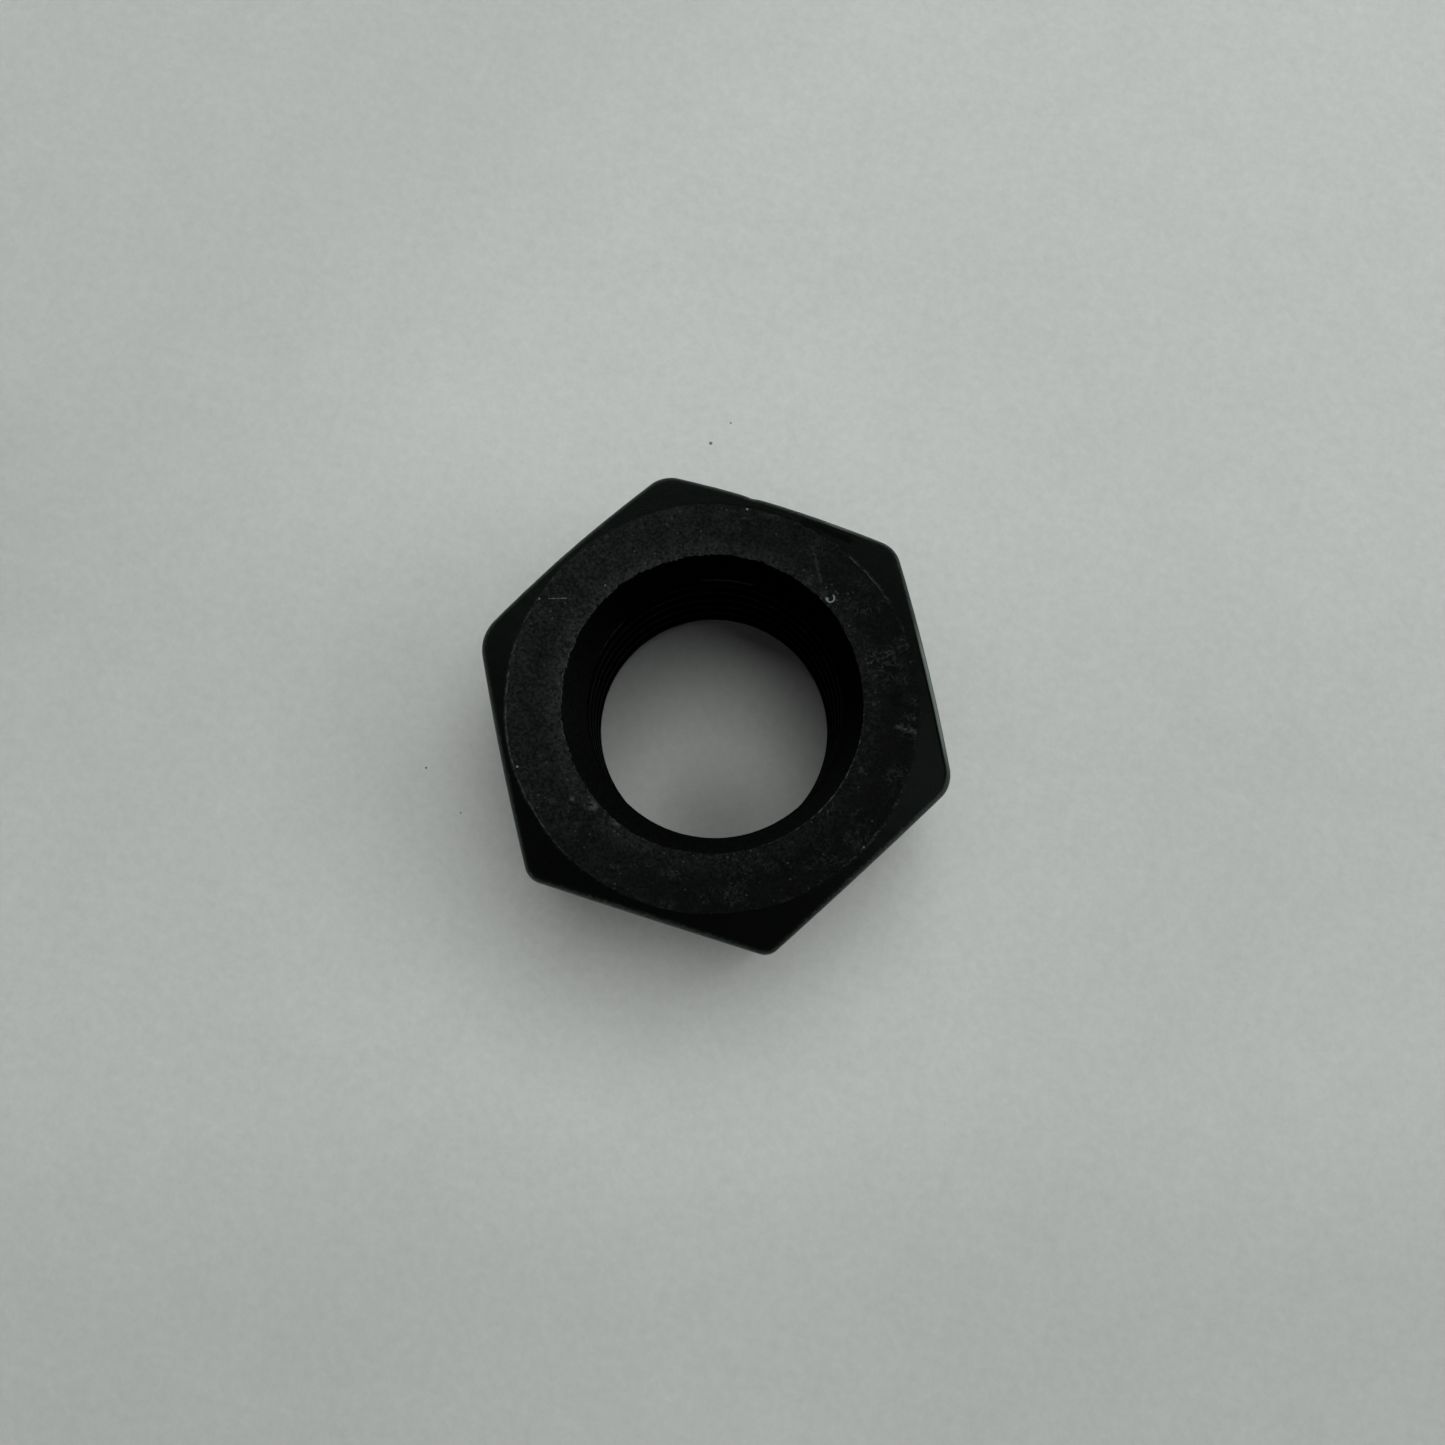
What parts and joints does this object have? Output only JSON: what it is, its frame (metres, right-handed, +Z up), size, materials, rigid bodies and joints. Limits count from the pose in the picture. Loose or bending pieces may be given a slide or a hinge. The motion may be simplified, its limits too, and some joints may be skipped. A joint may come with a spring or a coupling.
{
  "type": "hex nut",
  "caption": "Large plain hex nut in black oxide steel, chamfered on both faces, with a countersunk bore and a coarse right-hand internal thread.",
  "frame": {"origin": "centre of the lower bearing face, on the thread's axis", "axes": "+Z up along the thread's axis, +X towards a corner of the hexagon, +Y towards the middle of a flat"},
  "size_m": [0.0524, 0.046, 0.024],
  "materials": {
    "black_oxide": "satin black oxide on forged and turned steel"
  },
  "bodies": {
    "root": {"hex_nut": "black_oxide"}
  },
  "joints": []
}
